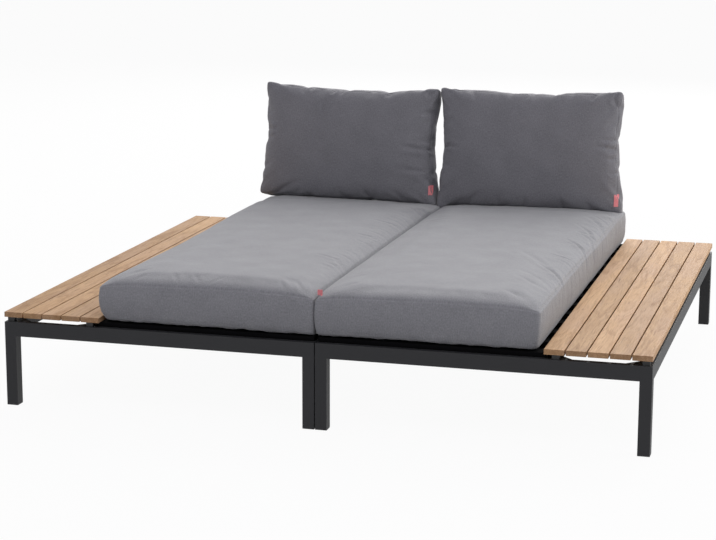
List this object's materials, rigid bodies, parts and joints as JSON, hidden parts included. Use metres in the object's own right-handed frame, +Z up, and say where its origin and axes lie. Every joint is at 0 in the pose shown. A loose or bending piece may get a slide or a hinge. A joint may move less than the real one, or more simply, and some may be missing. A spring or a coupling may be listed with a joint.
{
  "type": "garden sofa",
  "caption": "Low modular garden sofa: mirrored daybed modules on square legs, each with a slatted wooden side table, a long seat cushion and a leaning back cushion.",
  "frame": {"origin": "on the floor, at the middle of the sofa's overall footprint, between the two modules", "axes": "+X to the right as a person faces the front of the sofa, +Y to the rear, +Z up"},
  "size_m": [2.203, 2.0082, 0.934],
  "materials": {
    "frame_coat": "matte",
    "teak": "satin",
    "seat_fabric": "matte",
    "back_fabric": "matte",
    "black_plastic": "matte",
    "plated_steel": "satin"
  },
  "bodies": {
    "left_module": {"left_backrest_sockets": "frame_coat", "left_corner_braces": "frame_coat", "left_corner_spacers": "black_plastic", "left_deck_slats": "frame_coat", "left_foot_glides": "black_plastic", "left_frame_bolts": "plated_steel", "left_front_inner_leg": "frame_coat", "left_front_outer_leg": "frame_coat", "left_front_rail": "frame_coat", "left_inner_rail": "frame_coat", "left_outer_rail": "frame_coat", "left_rear_inner_leg": "frame_coat", "left_rear_outer_leg": "frame_coat", "left_rear_rail": "frame_coat", "left_slat_screws": "plated_steel", "left_socket_liners": "black_plastic", "left_table_battens": "frame_coat", "left_table_rail": "frame_coat", "left_table_slat_1": "teak", "left_table_slat_2": "teak", "left_table_slat_3": "teak", "left_table_slat_4": "teak", "left_table_slat_5": "teak"},
    "right_module": {"right_backrest_sockets": "frame_coat", "right_corner_braces": "frame_coat", "right_corner_spacers": "black_plastic", "right_deck_slats": "frame_coat", "right_foot_glides": "black_plastic", "right_frame_bolts": "plated_steel", "right_front_inner_leg": "frame_coat", "right_front_outer_leg": "frame_coat", "right_front_rail": "frame_coat", "right_inner_rail": "frame_coat", "right_outer_rail": "frame_coat", "right_rear_inner_leg": "frame_coat", "right_rear_outer_leg": "frame_coat", "right_rear_rail": "frame_coat", "right_slat_screws": "plated_steel", "right_socket_liners": "black_plastic", "right_table_battens": "frame_coat", "right_table_rail": "frame_coat", "right_table_slat_1": "teak", "right_table_slat_2": "teak", "right_table_slat_3": "teak", "right_table_slat_4": "teak", "right_table_slat_5": "teak"},
    "left_seat_cushion": {"left_seat_cushion": "seat_fabric"},
    "right_seat_cushion": {"right_seat_cushion": "seat_fabric"},
    "left_back_cushion": {"left_back_cushion": "back_fabric"},
    "right_back_cushion": {"right_back_cushion": "back_fabric"},
    "left_backrest": {"left_backrest_cross_bars": "frame_coat", "left_backrest_inner_upright": "frame_coat", "left_backrest_outer_upright": "frame_coat", "left_backrest_top_rail": "frame_coat", "left_upright_caps": "black_plastic"},
    "right_backrest": {"right_backrest_cross_bars": "frame_coat", "right_backrest_inner_upright": "frame_coat", "right_backrest_outer_upright": "frame_coat", "right_backrest_top_rail": "frame_coat", "right_upright_caps": "black_plastic"}
  },
  "joints": [
    {"name": "modules_apart", "type": "slide", "parent": "left_module", "child": "right_module", "axis": [1, 0, 0], "range_m": [0, 0.5]},
    {"name": "left_seat_cushion_lift", "type": "slide", "parent": "left_module", "child": "left_seat_cushion", "axis": [0, 0, 1], "range_m": [0, 0.25]},
    {"name": "left_back_cushion_lift", "type": "slide", "parent": "left_seat_cushion", "child": "left_back_cushion", "axis": [0, 0.1392, 0.9903], "range_m": [0, 0.4]},
    {"name": "left_backrest_lift", "type": "slide", "parent": "left_module", "child": "left_backrest", "axis": [0, 0.1392, 0.9903], "range_m": [0, 0.3]},
    {"name": "right_seat_cushion_lift", "type": "slide", "parent": "right_module", "child": "right_seat_cushion", "axis": [0, 0, 1], "range_m": [0, 0.25]},
    {"name": "right_back_cushion_lift", "type": "slide", "parent": "right_seat_cushion", "child": "right_back_cushion", "axis": [0, 0.1392, 0.9903], "range_m": [0, 0.4]},
    {"name": "right_backrest_lift", "type": "slide", "parent": "right_module", "child": "right_backrest", "axis": [0, 0.1392, 0.9903], "range_m": [0, 0.3]}
  ]
}
